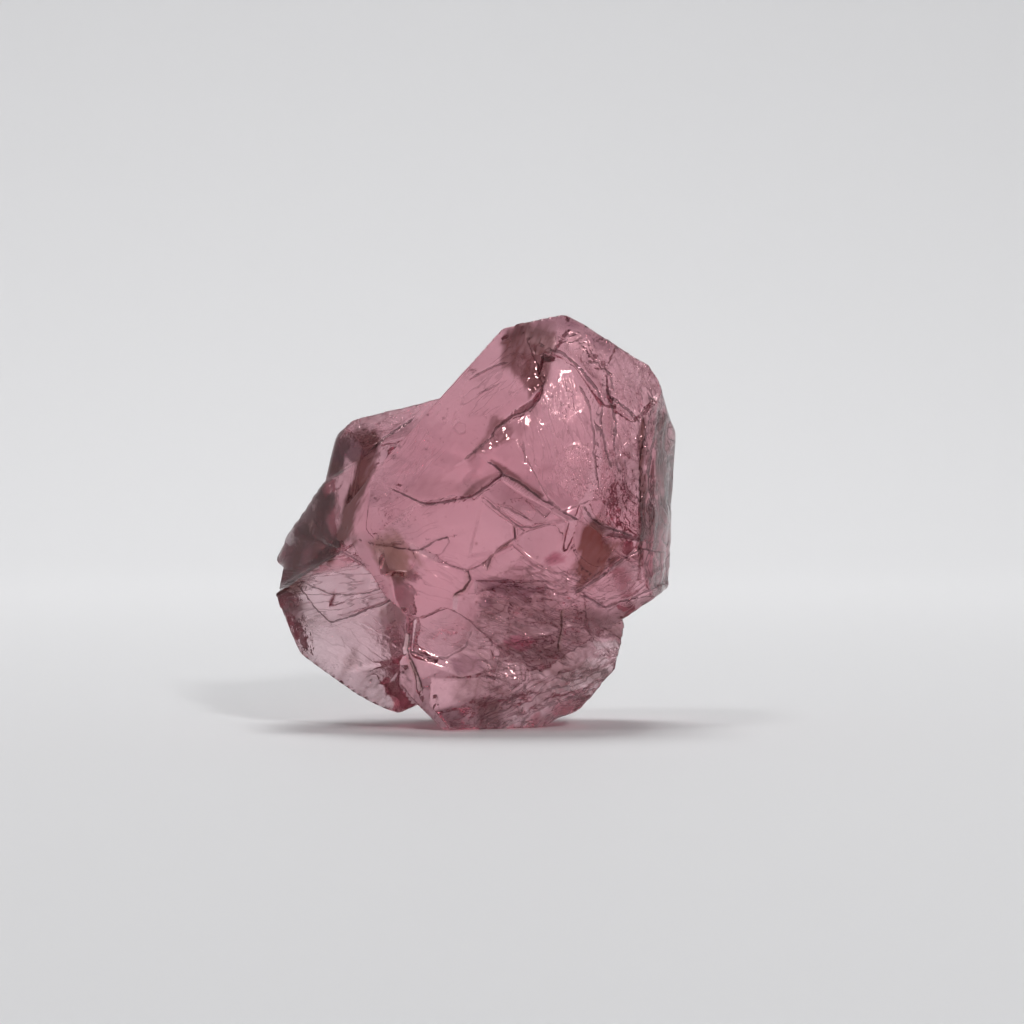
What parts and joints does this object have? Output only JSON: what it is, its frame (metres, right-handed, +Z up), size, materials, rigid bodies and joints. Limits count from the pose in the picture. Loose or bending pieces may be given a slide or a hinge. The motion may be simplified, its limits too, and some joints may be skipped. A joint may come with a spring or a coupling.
{
  "type": "rough tourmaline crystal fragment",
  "caption": "Rough pink tourmaline fragment: clear glassy crystal with flat breaks, stepped ledges and a striated side, standing on a flat break.",
  "frame": {"origin": "On the flat break that the fragment stands on, under the middle of the stone.", "axes": "+Z up from the surface it stands on; +X to the right and +Y away from a viewer who faces the broad stepped face; depth along Y is the shortest extent."},
  "size_m": [0.025, 0.016, 0.0246],
  "materials": {
    "tourmaline": "clear pink crystal with glassy fresh breaks, olive and brown staining in the cracks"
  },
  "bodies": {
    "root": {"tourmaline_crystal": "tourmaline"}
  },
  "joints": []
}
